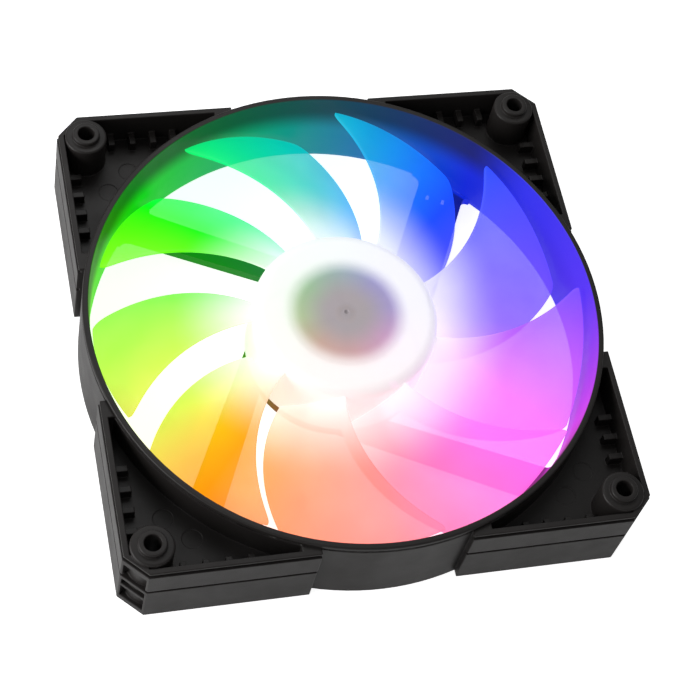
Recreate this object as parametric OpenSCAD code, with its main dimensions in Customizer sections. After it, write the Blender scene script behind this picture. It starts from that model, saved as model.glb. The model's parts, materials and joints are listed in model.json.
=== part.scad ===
// Case fan, 140 mm class, lit impeller.
// Frame of the model: origin at the centre of the back face, +Z towards the open front.

/* [Frame] */
// Side of the square frame
frame_w = 140; // [140:0.5:142]
// Back face to the rim of the corner blocks
frame_h = 25; // [25:0.5:27]
// Screw hole spacing, both ways
hole_pitch = 124.5; // [124:0.1:125]
// Screw hole diameter
hole_d = 4.5; // [4.2:0.1:4.8]
// Wall of the corner blocks
wall_t = 1.6; // [1.4:0.1:1.8]
// Leg of the cut-off corner of each block
corner_cut = 6; // [5.5:0.1:6.5]
// Half of the round barrel that shows between two corner blocks
block_start = 20; // [16:1:24]
// Height of the floor between the front and the rear pockets
floor_z = 15; // [14.6:0.1:15.4]

/* [Duct] */
// Outside radius of the barrel
barrel_r = 71; // [70.8:0.1:71.2]
// Radius of the duct around the blades
duct_r = 68.4; // [68.2:0.1:68.6]
// Duct radius at the front lip
mouth_r = 69.3; // [69.2:0.1:69.6]
// Height of the front lip
lip_z = 26.5; // [26.3:0.1:26.8]

/* [Screw bosses] */
// Radius of the boss tube
boss_r = 5.75; // [5.4:0.05:6]
// Height of the boss tube
boss_z = 26; // [25.6:0.1:26.2]
// Radius of the raised collar round the hole
collar_r = 3.7; // [3.5:0.05:3.9]
// Height of the raised collar
collar_z = 27.4; // [27:0.1:27.8]

/* [Struts] */
// Direction of the first strut, counter-clockwise from +X
strut_angle = 63.5; // [60:0.5:66]
// How far a strut's centreline passes the fan axis
strut_offset = 20; // [19:0.5:20.5]
// Strut width at the hub
strut_w_hub = 7.3; // [6:0.1:8]
// Strut width at the barrel
strut_w_rim = 10; // [9:0.1:11]
// Strut height
strut_h = 3; // [2.8:0.1:3.2]
// Offset of the centreline of the wide strut that carries the lead
lead_strut_offset = 15.35; // [15:0.05:15.6]
// Width of that strut
lead_strut_w = 13.7; // [13:0.1:14]

/* [Impeller] */
// Number of blades
blade_count = 9; // [7:1:11]
// Blade tip radius
tip_r = 67.4; // [66.8:0.1:67.5]
// Outside radius of the hub
hub_r = 25.5; // [25.4:0.1:26]
// Height of the hub's front face
hub_z = 24.5; // [24.4:0.1:24.6]
// Forward sweep of the blade from root to tip, in degrees
blade_sweep = 26; // [10:1:32]
// Blade width seen from the front at the root, in degrees
root_span = 37; // [30:1:38]
// Blade width seen from the front at the tip, in degrees
tip_span = 33; // [26:1:35]

/* [Motor] */
// Outside radius of the steel rotor cup
cup_r = 14.4; // [14.2:0.1:14.6]
// Outside radius of the stator
stator_r = 11.3; // [11:0.1:11.3]
// Radial running clearance of the shaft in its bearing
bearing_gap = 0.02; // [0.01:0.01:0.05]
// Radius of the ring of lamps
led_ring_r = 19.4; // [19:0.1:19.8]

/* [Hidden] */
$fn = 96;
eps = 0.01;
over = 1;

half_w = frame_w / 2;
hole_at = hole_pitch / 2;

// Barrel and duct
lip_round = 0.5;
lip_groove_z = lip_z - 2.1;
lip_groove_h = 0.8;
lip_groove_depth = 0.4;
back_flare = 0.8;
back_flare_h = 2.5;
mouth_start_z = 16;
wall_bite = 1;
strut_start = 6;

// Bands and grooves round the outside of a corner block
rim_inset = 0.3;
groove_depth = 0.9;
rim_h = 0.8;
groove_h = 1;
upper_groove_z = frame_h - rim_h - groove_h;
lower_groove_z = floor_z - groove_h;

// Corner blocks and their pockets
block_back = half_w - 8;
pocket_back = half_w - 30;
floor_t = 1.6;
pocket_inset = rim_inset + wall_t;
pocket_start = 25;
corner_wall_t = 2.9;
slot_depth = 1.8;
slot_w = corner_cut * sqrt(2) - 1.3;
slot_levels = [[2.3, 8.3], [9.6, 12.5], [14, 21]];
rib_first = 54.3;
rib_pitch = 5.9;
rib_count = 4;
rib_w = 1.7;
rib_reach = 3.9;
rib_top_z = 18.2;
pin_mark_r = 2.7;
pin_mark_depth = 0.15;
pin_marks = [[50.5, 57], [57, 50.5]];

// Boss
boss_round = 0.6;
collar_round = 0.4;

// Lead channel under the wide strut
channel_w = 5.6;
channel_h = 1.8;
channel_offset = 14.45;
slot_offsets = [12.1, 16.8];
slot_along = 59.4;
wire_slot_w = 0.9;
wire_slot_l = 2.2;
channel_start = 18.8;
channel_l = 44.2;
exit_x = hole_at - 15;
exit_depth = 4;

// Motor base
base_r = 24.8;
base_floor = 1.6;
base_wall_t = 1.6;
base_wall_z = 3.9;
label_r = 20.5;
label_recess = 0.2;
label_gap = 0.05;
label_side_gap = 0.4;
ledge_w = 1.6;

// Bearing and shaft
tube_r = 4.2;
tube_bore_r = 3.1;
tube_z = 0.6;
tube_floor = 0.8;
tube_top = 17;
tube_socket_t = 0.9;
pad_t = 1;
shaft_r = 1.5;
shaft_z = tube_z + tube_floor + pad_t;
shaft_end_h = 0.4;
retainer_z = 3.95;
retainer_t = 0.5;
clip_groove_z = 3.6;
clip_groove_w = 1.2;
clip_groove_depth = 0.4;
bearing_z = 5.2;
bearing_h = 10.8;
slinger_z = 16.3;
slinger_t = 0.4;
slinger_gap = 0.35;
bushing_gap = 0.6;
bushing_flange_r = 4.4;
bushing_flange_h = 2;

// Board and the bodies on it: places are [angle, radius], sizes [along the ring, width, height]
board_z = 3;
board_t = 1;
board_top = board_z + board_t;
board_r = 22.7;
board_gap = 0.1;
led_count = 8;
led_side = 3.5;
led_h = 1.8;
led_well_r = 1.35;
led_well_depth = 0.3;
driver_at = [247, 12.6];
driver_size = [4.9, 3.9, 1.4];
sensor_at = [135, 12.4];
sensor_size = [3, 1.6, 1.1];
capacitor_at = [20, 10.8];
capacitor_size = [3.2, 2.5, 1.6];
diode_at = [70, 11.6];
diode_size = [3.6, 1.8, 1.2];
resistor_angles = [160, 176, 192, 290, 306];
resistor_ring_r = 14.6;
resistor_size = [1.6, 0.8, 0.5];
small_capacitor_size = [1, 2, 0.9];

// Hub, cup and magnet
hub_bottom = 4.6;
hub_wall = 1.5;
hub_top_t = 1.4;
hub_round = 3.2;
collar_t = 1.3;
collar_bottom = 9;
dimple_r = 0.7;
dimple_depth = 0.4;
cup_wall = 1;
cup_bottom = 6.6;
cup_top = hub_z - hub_top_t;
cup_hole_r = 3;
shaft_top = cup_top - 0.3;
magnet_t = 1.6;
magnet_z = 7;
magnet_h = 10;

// Stator
core_z = 8.5;
core_h = 5.5;
core_top = core_z + core_h;
insulator_t = 1.6;
pole_count = 4;
arm_w = 3;
shoe_t = 1.1;
shoe_angle = 74;
core_ring_r = 6;
coil_in = 6.8;
coil_out = 9;
coil_w = 7.2;
coil_over = 0.7;
coil_gap = 0.05;
arm_cover = 0.4;
coil_corner_x = sqrt(pow(coil_out, 2) - pow(coil_w / 2, 2)) - coil_gap;
pin_ring_r = 6.2;
pin_r = 0.3;
pin_tip_z = 2.1;
socket_r = 0.9;
socket_h = 0.6;
flange_t = 1;

// Blade surface: one smooth height and sweep law from root to tip
blade_rings = 9;
blade_steps = 7;
root_r = hub_r - 0.9;
root_lead_z = 22.4;
root_trail_z = 5.6;
tip_lead_z = 23;
tip_trail_z = 8.2;
blade_camber = 1.1;
blade_t = 1.7;
edge_t = 0.8;

function lerp(a, b, t) = a + (b - a) * t;
function blade_span(t) = lerp(root_span, tip_span, t);
function blade_lead(t) = blade_sweep * pow(t, 1.25) + blade_span(t) / 2;
function blade_z(t, s) = lerp(lerp(root_lead_z, tip_lead_z, t), lerp(root_trail_z, tip_trail_z, t), s)
    + blade_camber * 4 * s * (1 - s);
function blade_half_t(s) = (edge_t + (blade_t - edge_t) * sin(180 * pow(s, 0.7))) * 0.62;
function blade_point(t, s, side) =
    let (r = lerp(root_r, tip_r, t), a = blade_lead(t) - blade_span(t) * s)
    [r * cos(a), r * sin(a), blade_z(t, s) + side * blade_half_t(s)];

// Grid of (rings + 1) by (steps + 1) points on each side of the blade, joined round its edge
function blade_points(side) = [for (i = [0:blade_rings]) for (j = [0:blade_steps])
    blade_point(i / blade_rings, j / blade_steps, side)];
function grid_at(i, j, side) = (side * (blade_rings + 1) + i) * (blade_steps + 1) + j;
function quad(a, b, c, d) = [[a, b, c], [a, c, d]];
function blade_faces() = concat(
    [for (i = [0:blade_rings - 1]) for (j = [0:blade_steps - 1]) for (f = quad(grid_at(i, j, 0),
        grid_at(i + 1, j, 0), grid_at(i + 1, j + 1, 0), grid_at(i, j + 1, 0))) f],
    [for (i = [0:blade_rings - 1]) for (j = [0:blade_steps - 1]) for (f = quad(grid_at(i, j + 1, 1),
        grid_at(i + 1, j + 1, 1), grid_at(i + 1, j, 1), grid_at(i, j, 1))) f],
    [for (i = [0:blade_rings - 1]) for (f = quad(grid_at(i, 0, 1), grid_at(i + 1, 0, 1),
        grid_at(i + 1, 0, 0), grid_at(i, 0, 0))) f],
    [for (i = [0:blade_rings - 1]) for (f = quad(grid_at(i, blade_steps, 0),
        grid_at(i + 1, blade_steps, 0), grid_at(i + 1, blade_steps, 1), grid_at(i, blade_steps, 1))) f],
    [for (j = [0:blade_steps - 1]) for (f = quad(grid_at(0, j, 0), grid_at(0, j + 1, 0),
        grid_at(0, j + 1, 1), grid_at(0, j, 1))) f],
    [for (j = [0:blade_steps - 1]) for (f = quad(grid_at(blade_rings, j, 1),
        grid_at(blade_rings, j + 1, 1), grid_at(blade_rings, j + 1, 0), grid_at(blade_rings, j, 0))) f]);

// Ring between two radii and two heights
module ring(r_in, r_out, z, h) {
    translate([0, 0, z])
        difference() {
            cylinder(r = r_out, h = h);
            translate([0, 0, -over])
                cylinder(r = r_in, h = h + 2 * over);
        }
}

// Four turned copies about the fan axis
module four_ways() {
    for (k = [0:3])
        rotate(90 * k)
            children();
}

// ---------------------------------------------------------------- frame

// Outline of one corner block, drawn inset from its nominal faces
module block_outline(inset) {
    edge = half_w - inset;
    cut = corner_cut - inset * (2 - sqrt(2));
    polygon([[block_start, block_back], [block_start, edge], [edge - cut, edge],
        [edge, edge - cut], [edge, block_start], [block_back, block_start]]);
}

// Outline of the pocket between the barrel and the outer walls
module pocket_outline(corner_t) {
    edge = half_w - pocket_inset;
    cut = corner_cut + (corner_t * sqrt(2) - 2 * pocket_inset);
    difference() {
        polygon([[pocket_start, pocket_back], [pocket_start, edge], [edge - cut, edge],
            [edge, edge - cut], [edge, pocket_start], [pocket_back, pocket_start]]);
        circle(r = barrel_r - wall_bite * 0.7, $fn = 180);
    }
}

module block_solid() {
    linear_extrude(lower_groove_z)
        block_outline(0);
    translate([0, 0, lower_groove_z - eps])
        linear_extrude(groove_h + 2 * eps)
            block_outline(groove_depth);
    translate([0, 0, floor_z])
        linear_extrude(upper_groove_z - floor_z)
            block_outline(0);
    translate([0, 0, upper_groove_z - eps])
        linear_extrude(groove_h + 2 * eps)
            block_outline(groove_depth);
    translate([0, 0, frame_h - rim_h])
        linear_extrude(rim_h)
            block_outline(rim_inset);
}

// Short ribs along the inside of both outer walls
module pocket_ribs() {
    for (i = [0:rib_count - 1]) {
        at = rib_first - i * rib_pitch - rib_w / 2;
        reach = rib_reach + 0.2;
        from = half_w - pocket_inset - rib_reach;
        translate([at, from, floor_z - eps])
            cube([rib_w, reach, rib_top_z - floor_z]);
        translate([from, at, floor_z - eps])
            cube([reach, rib_w, rib_top_z - floor_z]);
    }
}

module pockets() {
    translate([0, 0, floor_z])
        linear_extrude(upper_groove_z - floor_z)
            pocket_outline(corner_wall_t);
    translate([0, 0, upper_groove_z - eps])
        linear_extrude(frame_h)
            pocket_outline(wall_t);
    translate([0, 0, -over])
        linear_extrude(floor_z - floor_t + over)
            pocket_outline(corner_wall_t);
}

// Slots stacked in the cut-off corner
module corner_slots() {
    face = (frame_w - corner_cut) / sqrt(2);
    for (level = slot_levels)
        rotate(45)
            translate([face - slot_depth, -slot_w / 2, level[0]])
                cube([slot_depth + over, slot_w, level[1] - level[0]]);
}

// Boss tube with a raised collar, both with rounded edges
module boss_post() {
    rotate_extrude()
        union() {
            square([boss_r, boss_z - boss_round]);
            square([boss_r - boss_round, boss_z]);
            translate([boss_r - boss_round, boss_z - boss_round])
                circle(r = boss_round, $fn = 32);
            square([collar_r, collar_z - collar_round]);
            square([collar_r - collar_round, collar_z]);
            translate([collar_r - collar_round, collar_z - collar_round])
                circle(r = collar_round, $fn = 32);
        }
}

module boss_bore() {
    translate([0, 0, -over])
        cylinder(r = hole_d / 2, h = collar_z + 2 * over);
}

// Barrel outline in section, from its back edge round the lip
module barrel_section() {
    groove_r = barrel_r - lip_groove_depth;
    groove_top = lip_groove_z + lip_groove_h;
    inside = duct_r - over;
    polygon([[inside, 0], [barrel_r, 0], [barrel_r, lip_groove_z], [groove_r, lip_groove_z],
        [groove_r, groove_top], [barrel_r, groove_top], [barrel_r, lip_z - lip_round],
        [barrel_r - lip_round, lip_z], [inside, lip_z]]);
    translate([barrel_r - lip_round, lip_z - lip_round])
        circle(r = lip_round, $fn = 32);
}

// Air space in section: flared a little at both ends
module duct_section() {
    back_r = duct_r + back_flare;
    polygon([[0, -over], [back_r, -over], [back_r, 0], [duct_r, back_flare_h], [duct_r, mouth_start_z],
        [mouth_r, lip_z - lip_round], [mouth_r, lip_z + over], [0, lip_z + over]]);
}

// A strut outline, drawn along +X with its offset to the clockwise side, -Y
module strut_outline(offset_at, w_hub, w_rim) {
    intersection() {
        polygon([[strut_start, -offset_at - w_hub / 2], [duct_r, -offset_at - w_rim / 2],
            [duct_r, -offset_at + w_rim / 2], [strut_start, -offset_at + w_hub / 2]]);
        circle(r = barrel_r - wall_bite, $fn = 180);
    }
}

// Fillet between a strut edge and the duct; side is 1 on the edge further from the axis
module strut_fillet(edge_at, side, r) {
    centre_off = edge_at + side * r;
    along = sqrt(pow(duct_r - r, 2) - pow(centre_off, 2));
    into_wall = duct_r + 1.2;
    reach = into_wall / (duct_r - r);
    into_strut = -edge_at + side * 0.4;
    difference() {
        polygon([[along, into_strut], [along, -centre_off], [along * reach, -centre_off * reach],
            [sqrt(pow(into_wall, 2) - pow(edge_at, 2)), into_strut]]);
        translate([along, -centre_off])
            circle(r = r, $fn = 48);
    }
}

module struts() {
    for (k = [1:3])
        rotate(strut_angle + 90 * k)
            linear_extrude(strut_h) {
                strut_outline(strut_offset, strut_w_hub, strut_w_rim);
                strut_fillet(strut_offset + strut_w_rim / 2, 1, 1.5);
                strut_fillet(strut_offset - strut_w_rim / 2, -1, 2.5);
            }
    rotate(strut_angle)
        linear_extrude(strut_h) {
            strut_outline(lead_strut_offset, lead_strut_w, lead_strut_w);
            strut_fillet(lead_strut_offset + lead_strut_w / 2, 1, 1.5);
            strut_fillet(lead_strut_offset - lead_strut_w / 2, -1, 3);
        }
}

// Channel for the lead, its two wire slots, and the way out through the far wall
module lead_way() {
    rotate(strut_angle) {
        translate([channel_start, -channel_offset - channel_w / 2, -over])
            cube([channel_l, channel_w, channel_h + over]);
        for (at = slot_offsets)
            translate([slot_along, -at - wire_slot_w / 2, -over])
                cube([wire_slot_l, wire_slot_w, strut_h + 2 * over]);
    }
    translate([exit_x, half_w - exit_depth, -over])
        cube([channel_w, 2 * exit_depth, strut_h + over]);
}

module motor_base() {
    difference() {
        cylinder(r = base_r, h = base_wall_z);
        translate([0, 0, base_floor])
            cylinder(r = base_r - base_wall_t, h = base_wall_z);
    }
    ring(board_r - ledge_w, base_r - base_wall_t + 0.2, base_floor - eps, board_z - base_floor + eps);
    cylinder(r = tube_r + tube_socket_t, h = board_z);
}

module fan_frame() {
    color([0.09, 0.085, 0.085])
        difference() {
            union() {
                difference() {
                    union() {
                        rotate_extrude($fn = 180)
                            barrel_section();
                        four_ways()
                            difference() {
                                block_solid();
                                pockets();
                                corner_slots();
                            }
                    }
                    rotate_extrude($fn = 180)
                        duct_section();
                }
                four_ways()
                    pocket_ribs();
                four_ways()
                    translate([hole_at, hole_at, 0])
                        boss_post();
                struts();
                motor_base();
            }
            four_ways()
                translate([hole_at, hole_at, 0])
                    boss_bore();
            four_ways()
                for (at = pin_marks)
                    translate([at[0], at[1], floor_z - pin_mark_depth])
                        cylinder(r = pin_mark_r, h = 2 * pin_mark_depth);
            lead_way();
            translate([0, 0, tube_z])
                cylinder(r = tube_r, h = board_z);
            translate([0, 0, -over])
                cylinder(r = label_r, h = label_recess + over);
        }
}

module back_label() {
    color([0.8, 0.8, 0.82])
        translate([0, 0, label_gap])
            cylinder(r = label_r - label_side_gap, h = label_recess - label_gap);
}

// ---------------------------------------------------------------- bearing

module bearing_tube() {
    color([0.78, 0.62, 0.3])
        difference() {
            translate([0, 0, tube_z])
                cylinder(r = tube_r, h = tube_top - tube_z);
            translate([0, 0, tube_z + tube_floor])
                cylinder(r = tube_bore_r, h = tube_top);
        }
}

module thrust_pad() {
    color([0.92, 0.9, 0.82])
        translate([0, 0, tube_z + tube_floor])
            cylinder(r = tube_bore_r, h = pad_t);
}

module sleeve_bearing() {
    color([0.62, 0.42, 0.24])
        ring(shaft_r + bearing_gap, tube_bore_r, bearing_z, bearing_h);
}

module shaft_retainer() {
    color([0.95, 0.95, 0.92])
        ring(shaft_r - 0.2, tube_bore_r, retainer_z, retainer_t);
}

// ---------------------------------------------------------------- stator

// Ring, arms and shoes of one lamination, in outline
module lamination_outline() {
    difference() {
        union() {
            circle(r = core_ring_r);
            for (k = [0:pole_count - 1])
                rotate(k * 360 / pole_count) {
                    translate([0, -arm_w / 2])
                        square([stator_r - shoe_t / 2, arm_w]);
                    shoe_outline(stator_r - shoe_t, stator_r);
                }
        }
        circle(r = tube_r);
    }
}

// Curved shoe at the end of a pole arm
module shoe_outline(r_in, r_out) {
    half = shoe_angle / 2;
    reach = r_out * 1.6;
    intersection() {
        difference() {
            circle(r = r_out);
            circle(r = r_in);
        }
        polygon([[0, 0], [reach * cos(half), -reach * sin(half)],
            [reach * cos(half), reach * sin(half)]]);
    }
}

module stator_core() {
    color([0.42, 0.43, 0.45])
        translate([0, 0, core_z])
            linear_extrude(core_h)
                lamination_outline();
}

// One half of the bobbin: plate on the core plus a flange that keeps the wire in
module insulator_half() {
    linear_extrude(insulator_t)
        difference() {
            union() {
                circle(r = core_ring_r + arm_cover);
                for (k = [0:pole_count - 1])
                    rotate(k * 360 / pole_count)
                        translate([0, -arm_w / 2 - arm_cover])
                            square([coil_out + arm_cover, arm_w + 2 * arm_cover]);
            }
            circle(r = tube_r);
        }
    for (k = [0:pole_count - 1])
        rotate(k * 360 / pole_count)
            linear_extrude(insulator_t + coil_over)
                shoe_outline(coil_out, coil_out + flange_t);
}

module upper_insulator() {
    color([0.93, 0.92, 0.88])
        translate([0, 0, core_top])
            insulator_half();
}

module lower_insulator() {
    color([0.93, 0.92, 0.88])
        difference() {
            union() {
                translate([0, 0, core_z])
                    mirror([0, 0, 1])
                        insulator_half();
                pin_places()
                    translate([0, 0, core_z - insulator_t - socket_h])
                        cylinder(r = socket_r, h = insulator_t + socket_h, $fn = 32);
            }
            pin_places()
                translate([0, 0, core_z - insulator_t - over])
                    cylinder(r = pin_r, h = insulator_t, $fn = 24);
            cylinder(r = tube_r, h = core_top);
        }
}

// The three wire ends leave between the poles
module pin_places() {
    for (k = [0:2])
        rotate(45 + 90 * k)
            translate([pin_ring_r, 0, 0])
                children();
}

module winding(k) {
    z_low = core_z - insulator_t;
    z_high = core_top + insulator_t;
    color([0.72, 0.36, 0.16])
        rotate(k * 360 / pole_count)
            difference() {
                translate([coil_in, -coil_w / 2, z_low - coil_over])
                    cube([coil_corner_x - coil_in, coil_w, z_high - z_low + 2 * coil_over]);
                translate([coil_in - over, -arm_w / 2 - arm_cover, z_low])
                    cube([coil_corner_x - coil_in + 2 * over, arm_w + 2 * arm_cover, z_high - z_low]);
            }
}

module terminal_pins() {
    color([0.8, 0.8, 0.8])
        pin_places()
            translate([0, 0, pin_tip_z])
                cylinder(r = pin_r, h = core_z - over - pin_tip_z, $fn = 24);
}

// ---------------------------------------------------------------- board

module motor_board() {
    color([0.93, 0.94, 0.93])
        difference() {
            ring(tube_r + board_gap, board_r, board_z, board_t);
            pin_places()
                translate([0, 0, board_z - over])
                    cylinder(r = pin_r + board_gap, h = board_t + 2 * over, $fn = 24);
        }
}

// A body on the board: at is [angle, radius], size is [length along the ring, width, height]
module on_board(at, size) {
    rotate(at[0])
        translate([at[1] - size[1] / 2, -size[0] / 2, board_top])
            cube([size[1], size[0], size[2]]);
}

module driver_chip() {
    color([0.1, 0.1, 0.11])
        on_board(driver_at, driver_size);
}

module hall_sensor() {
    color([0.12, 0.12, 0.13])
        on_board(sensor_at, sensor_size);
}

module input_capacitor() {
    color([0.62, 0.5, 0.36])
        on_board(capacitor_at, capacitor_size);
}

module reverse_diode() {
    color([0.13, 0.13, 0.13])
        on_board(diode_at, diode_size);
}

module chip_resistors() {
    color([0.16, 0.16, 0.17])
        for (angle = resistor_angles)
            on_board([angle, resistor_ring_r], resistor_size);
}

// One small capacitor beside each lamp
module chip_capacitors() {
    color([0.66, 0.52, 0.38])
        for (k = [0:led_count - 1])
            on_board([(k + 0.5) * 360 / led_count, led_ring_r], small_capacitor_size);
}

// Lamp: a white square housing with a round resin well
module led(k) {
    rotate(k * 360 / led_count) {
        color([0.95, 0.95, 0.92])
            difference() {
                on_board([0, led_ring_r], [led_side, led_side, led_h]);
                translate([led_ring_r, 0, board_top + led_h - led_well_depth])
                    cylinder(r = led_well_r, h = over, $fn = 32);
            }
    }
}

// ---------------------------------------------------------------- rotor

// Hub shell in section: skirt, rounded shoulder, front plate and inner collar
module hub_section() {
    difference() {
        union() {
            translate([0, hub_bottom])
                square([hub_r, hub_z - hub_bottom - hub_round]);
            translate([0, hub_bottom])
                square([hub_r - hub_round, hub_z - hub_bottom]);
            translate([hub_r - hub_round, hub_z - hub_round])
                circle(r = hub_round);
        }
        hub_hollow_section();
    }
    translate([cup_r, collar_bottom])
        square([collar_t, cup_top - collar_bottom + 0.2]);
}

module hub_hollow_section() {
    inner_r = hub_r - hub_wall;
    inner_round = hub_round - hub_wall;
    translate([0, hub_bottom - over])
        square([inner_r, cup_top - hub_bottom + over - inner_round]);
    translate([0, hub_bottom - over])
        square([inner_r - inner_round, cup_top - hub_bottom + over]);
    translate([inner_r - inner_round, cup_top - inner_round])
        circle(r = inner_round);
}

module impeller() {
    color([0.93, 0.95, 0.97, 0.6])
        difference() {
            union() {
                rotate_extrude()
                    intersection() {
                        hub_section();
                        square([hub_r + over, hub_z + over]);
                    }
                for (k = [0:blade_count - 1])
                    rotate(k * 360 / blade_count)
                        polyhedron(points = concat(blade_points(1), blade_points(-1)),
                            faces = blade_faces(), convexity = 4);
            }
            translate([0, 0, hub_z - dimple_depth])
                cylinder(r1 = dimple_r / 2, r2 = dimple_r, h = dimple_depth + eps, $fn = 32);
        }
}

module rotor_cup() {
    color([0.55, 0.56, 0.58])
        difference() {
            translate([0, 0, cup_bottom])
                cylinder(r = cup_r, h = cup_top - cup_bottom);
            translate([0, 0, cup_bottom - over])
                cylinder(r = cup_r - cup_wall, h = cup_top - cup_bottom - cup_wall + over);
            cylinder(r = cup_hole_r, h = hub_z);
        }
}

module ring_magnet() {
    color([0.2, 0.17, 0.16])
        ring(cup_r - cup_wall - magnet_t, cup_r - cup_wall, magnet_z, magnet_h);
}

module shaft() {
    color([0.86, 0.87, 0.88])
        difference() {
            union() {
                translate([0, 0, shaft_z + shaft_end_h])
                    cylinder(r = shaft_r, h = shaft_top - shaft_z - shaft_end_h);
                translate([0, 0, shaft_z])
                    cylinder(r1 = shaft_r - 0.5, r2 = shaft_r, h = shaft_end_h);
            }
            ring(shaft_r - clip_groove_depth, shaft_r + over, clip_groove_z, clip_groove_w);
        }
}

module shaft_bushing() {
    color([0.8, 0.66, 0.34])
        difference() {
            union() {
                translate([0, 0, tube_top + bushing_gap])
                    cylinder(r = cup_hole_r, h = cup_top - tube_top - bushing_gap);
                translate([0, 0, cup_top - cup_wall - bushing_flange_h])
                    cylinder(r = bushing_flange_r, h = bushing_flange_h);
            }
            cylinder(r = shaft_r, h = hub_z);
        }
}

module oil_slinger() {
    color([0.86, 0.82, 0.66])
        ring(shaft_r, tube_bore_r - slinger_gap, slinger_z, slinger_t);
}

fan_frame();
bearing_tube();
thrust_pad();
sleeve_bearing();
shaft_retainer();
stator_core();
upper_insulator();
lower_insulator();
winding(0);  // winding_1
winding(1);  // winding_2
winding(2);  // winding_3
winding(3);  // winding_4
terminal_pins();
motor_board();
driver_chip();
hall_sensor();
input_capacitor();
reverse_diode();
chip_resistors();
chip_capacitors();
led(0);  // led_1
led(1);  // led_2
led(2);  // led_3
led(3);  // led_4
led(4);  // led_5
led(5);  // led_6
led(6);  // led_7
led(7);  // led_8
back_label();
impeller();
rotor_cup();
ring_magnet();
shaft();
shaft_bushing();
oil_slinger();
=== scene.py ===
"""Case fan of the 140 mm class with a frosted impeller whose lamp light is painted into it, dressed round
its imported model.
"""
import json
import math

import bmesh
import bpy
from mathutils import Matrix, Vector
from mathutils.bvhtree import BVHTree
from mathutils.kdtree import KDTree


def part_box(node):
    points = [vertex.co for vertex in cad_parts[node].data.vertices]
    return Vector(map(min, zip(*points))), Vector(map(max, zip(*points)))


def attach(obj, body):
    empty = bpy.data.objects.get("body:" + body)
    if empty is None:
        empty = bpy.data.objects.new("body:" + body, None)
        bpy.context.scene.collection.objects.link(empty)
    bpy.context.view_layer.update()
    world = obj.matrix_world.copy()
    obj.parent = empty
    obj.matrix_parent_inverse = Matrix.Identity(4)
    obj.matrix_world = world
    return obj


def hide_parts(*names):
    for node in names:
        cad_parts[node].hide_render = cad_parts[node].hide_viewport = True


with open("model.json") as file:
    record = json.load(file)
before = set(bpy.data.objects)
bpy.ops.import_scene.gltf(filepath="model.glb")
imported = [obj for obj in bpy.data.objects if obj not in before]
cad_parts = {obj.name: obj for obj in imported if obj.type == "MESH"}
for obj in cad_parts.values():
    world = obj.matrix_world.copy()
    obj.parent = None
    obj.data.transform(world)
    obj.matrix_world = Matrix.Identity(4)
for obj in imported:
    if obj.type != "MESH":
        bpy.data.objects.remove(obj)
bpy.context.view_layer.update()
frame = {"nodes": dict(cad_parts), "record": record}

# ---------------------------------------------------------------- sizes, in metres and degrees

MM = 0.001
SLOT_OF = {part["node"]: part["material_slot"] for part in frame["record"]["subparts"]}

BARREL_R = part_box("fan_frame")[1].x
DUCT_WALL = 2.6 * MM
DUCT_R = BARREL_R - DUCT_WALL
EDGE_ROUND = 0.22 * MM
SHARP_EDGE = 35
# Shares of the edge rounding: how near another edge may lie, and how far a point may stray
NEAR_EDGE, STRAY = 1.6, 0.5
MERGE_GAP = 0.002 * MM

TIP_R = 67.4 * MM
HUB_R = 25.5 * MM
HUB_BOTTOM, HUB_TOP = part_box("impeller")[0].z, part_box("impeller")[1].z
HUB_WALL = 1.5 * MM
HUB_PLATE = 1.4 * MM
HUB_ROUND = 3.2 * MM
HUB_LIP = 0.3 * MM
HUB_STEPS = 144
COLLAR_T = 1.3 * MM
COLLAR_FILLET = 0.4 * MM
COLLAR_BOTTOM = 9 * MM
DIMPLE_R, DIMPLE_DEPTH = 0.7 * MM, 0.4 * MM

CUP_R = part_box("rotor_cup")[1].x
CUP_BOTTOM, CUP_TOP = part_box("rotor_cup")[0].z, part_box("rotor_cup")[1].z
CUP_WALL = 1 * MM
CUP_ROUND = 1.2 * MM
CUP_LIP = 0.25 * MM
CUP_INNER_ROUND = 0.4 * MM
CUP_STEPS = 96
CUP_HOLE_R = 3 * MM

BLADE_COUNT = 9
BLADE_ROOT_R = HUB_R - 0.9 * MM
BLADE_SWEEP = 26
ROOT_SPAN, TIP_SPAN = 37, 33
ROOT_LEAD_Z, ROOT_TRAIL_Z = 22.4 * MM, 5.6 * MM
TIP_LEAD_Z, TIP_TRAIL_Z = 23 * MM, 8.2 * MM
BLADE_CAMBER = 1.1 * MM
BLADE_T, EDGE_T = 1.7 * MM, 0.8 * MM

# Heights between which the painted lamp light dies away up the duct wall
GLOW_LOW_Z, GLOW_HIGH_Z = 13 * MM, 22 * MM

POLE_COUNT = 4
WIRE_D = 0.26 * MM
WIRE_LAYERS, WIRE_TURNS = 4, 5
WIRE_STEPS = 24
CORE_HALF_W = 2.15 * MM
WIRE_STACK = 0.62 * MM

# ---------------------------------------------------------------- colours, linear

BLACK = (0.0175, 0.0155, 0.0148)
POLISHED_BLACK = (0.09, 0.085, 0.082)
# Painted shade: the grey that the steel cup casts into the glowing hub
CUP_SHADE_GREY = (0.235, 0.205, 0.22)
NO_LIGHT, FULL_LIGHT = (0.0, 0.0, 0.0, 1), (1.0, 1.0, 1.0, 1)
# The eight lamps, counter-clockwise from +X
LAMP_HUES = {
    "violet": (0.20, 0.08, 1.0),
    "blue": (0.015, 0.08, 0.95),
    "teal": (0.0, 0.50, 0.45),
    "green": (0.002, 0.85, 0.006),
    "lime": (0.38, 0.92, 0.003),
    "orange": (0.90, 0.32, 0.001),
    "salmon": (1.0, 0.22, 0.22),
    "magenta": (0.95, 0.14, 0.82),
}

# ---------------------------------------------------------------- node trees


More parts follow.
